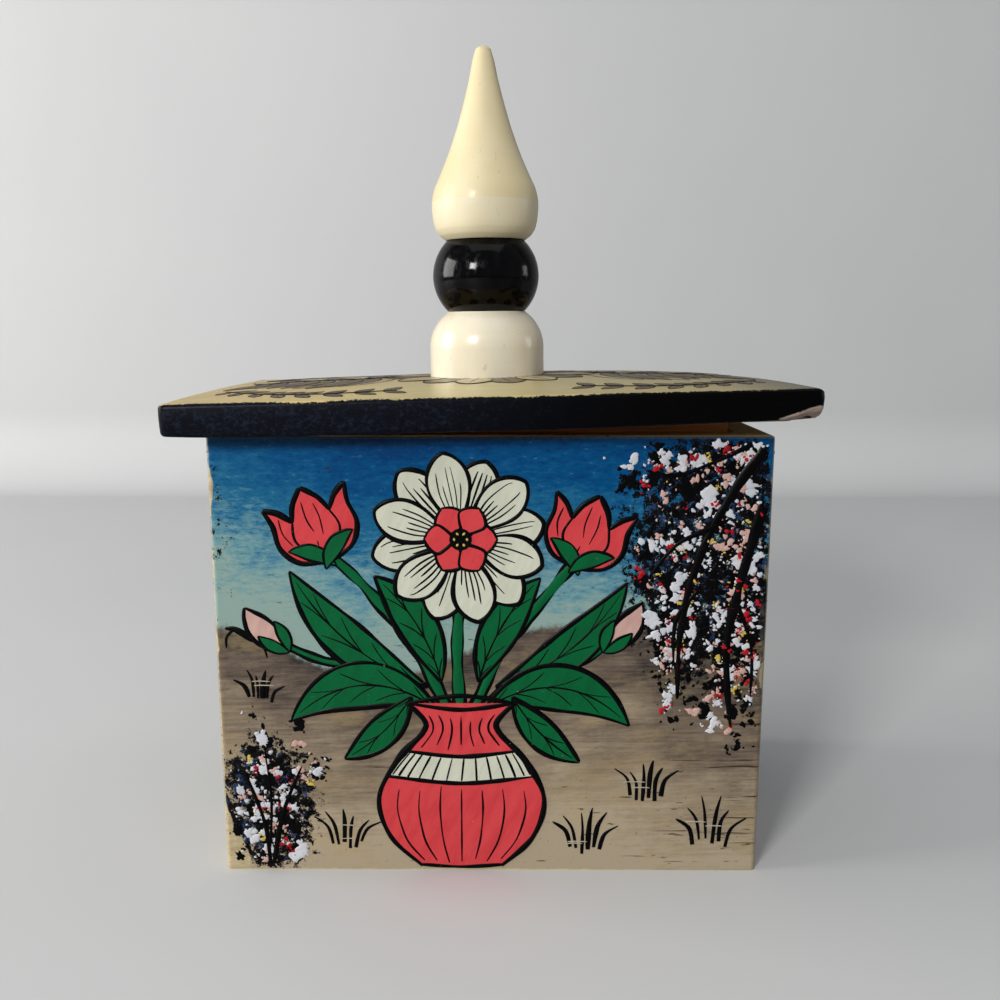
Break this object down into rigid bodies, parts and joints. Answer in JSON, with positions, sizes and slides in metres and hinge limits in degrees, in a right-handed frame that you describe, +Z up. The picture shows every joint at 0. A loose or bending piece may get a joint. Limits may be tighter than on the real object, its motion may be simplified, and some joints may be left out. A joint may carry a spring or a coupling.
{
  "type": "bone trinket box",
  "caption": "Small oblong trinket box of glued bone panels, with a loose overhanging cambered lid and a turned finial of stacked beads under a pointed spire.",
  "frame": {"origin": "middle of the box's footprint, on the surface that it stands on", "axes": "+X to the right seen from the painted front, +Y from the front to the back, +Z up"},
  "size_m": [0.0723, 0.0474, 0.0995],
  "materials": {
    "painted_panel": "gloss",
    "bare_bone": "satin",
    "lid_bone": "gloss",
    "board_wood": "satin",
    "cream_bone": "gloss",
    "black_bone": "gloss",
    "dowel_wood": "matte",
    "paint_black": "satin",
    "paint_green": "gloss",
    "paint_coral": "gloss",
    "paint_white": "gloss",
    "paint_pink": "gloss",
    "paint_red": "gloss",
    "paint_yellow": "gloss"
  },
  "bodies": {
    "box": {"front_panel": "painted_panel", "back_panel": "painted_panel", "left_panel": "painted_panel", "right_panel": "painted_panel", "base_panel": "bare_bone"},
    "lid": {"lid_plate": "lid_bone", "lid_locating_board": "board_wood", "finial_foot_bead": "cream_bone", "finial_black_bead": "black_bone", "finial_spire": "cream_bone", "finial_dowel": "dowel_wood"}
  },
  "joints": [
    {"name": "lid_lift", "type": "slide", "parent": "box", "child": "lid", "axis": [0, 0, 1], "range_m": [0, 0.06]}
  ]
}
